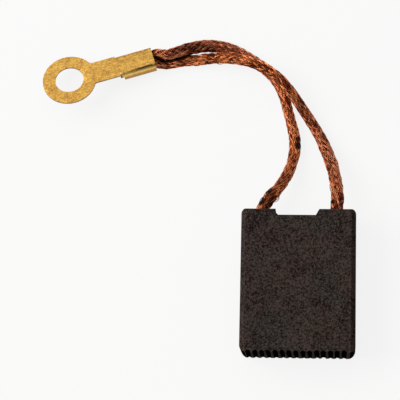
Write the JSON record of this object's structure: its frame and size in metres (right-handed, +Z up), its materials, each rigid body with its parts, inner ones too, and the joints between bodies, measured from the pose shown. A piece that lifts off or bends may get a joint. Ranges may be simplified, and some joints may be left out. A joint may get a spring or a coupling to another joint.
{
  "type": "carbon brush",
  "caption": "Carbon brush block with a grooved running face and a finger notch, and braided copper leads crimped into a shared brass ring terminal.",
  "frame": {"origin": "middle of the carbon block's footprint, on the surface that the block lies on", "axes": "+X across the block, +Y from the grooved running face to the lead end, +Z up through the block's thickness"},
  "size_m": [0.071, 0.0723, 0.01],
  "materials": {
    "carbon": "pressed and baked, matte, fine grain",
    "tamped_powder": "tamped copper and graphite powder",
    "resin": "cured resin",
    "copper_braid": "bare braided copper, dulled",
    "brass_sheet": "stamped sheet, lightly stained"
  },
  "bodies": {
    "root": {"carbon_block": "carbon", "tamping_left": "tamped_powder", "tamping_right": "tamped_powder", "seal_left": "resin", "seal_right": "resin", "lead_left": "copper_braid", "lead_right": "copper_braid", "ring_terminal": "brass_sheet"}
  },
  "joints": []
}
